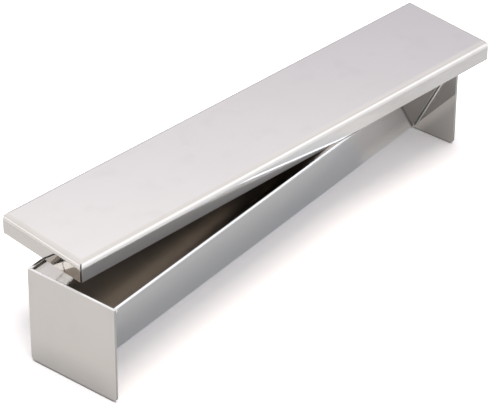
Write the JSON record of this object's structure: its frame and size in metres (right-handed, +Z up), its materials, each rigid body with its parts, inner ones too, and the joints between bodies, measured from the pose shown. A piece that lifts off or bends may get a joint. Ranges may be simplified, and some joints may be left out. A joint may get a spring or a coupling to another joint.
{
  "type": "triangle mould with lid",
  "caption": "Long V-shaped baking mould of folded and welded steel sheet, standing on square end plates, with a loose shallow tray lid lying askew on its rims.",
  "frame": {"origin": "on the table, under the middle of the whole part's box with the lid lying as pictured", "axes": "+X along the trough towards the right end plate, +Y towards the far wall, +Z up"},
  "size_m": [0.3122, 0.1004, 0.0694],
  "materials": {
    "mould_steel": "bright satin",
    "plate_steel": "bright satin",
    "weld_steel": "dressed weld",
    "lid_steel": "bright satin"
  },
  "bodies": {
    "mould": {"trough": "mould_steel", "left_end_plate": "plate_steel", "right_end_plate": "plate_steel", "left_near_weld": "weld_steel", "left_far_weld": "weld_steel", "right_near_weld": "weld_steel", "right_far_weld": "weld_steel", "left_apex_tack": "weld_steel", "right_apex_tack": "weld_steel"},
    "lid": {"lid": "lid_steel"}
  },
  "joints": [
    {"name": "lid_lift", "type": "slide", "parent": "mould", "child": "lid", "axis": [0, 0, 1], "range_m": [0, 0.1]}
  ]
}
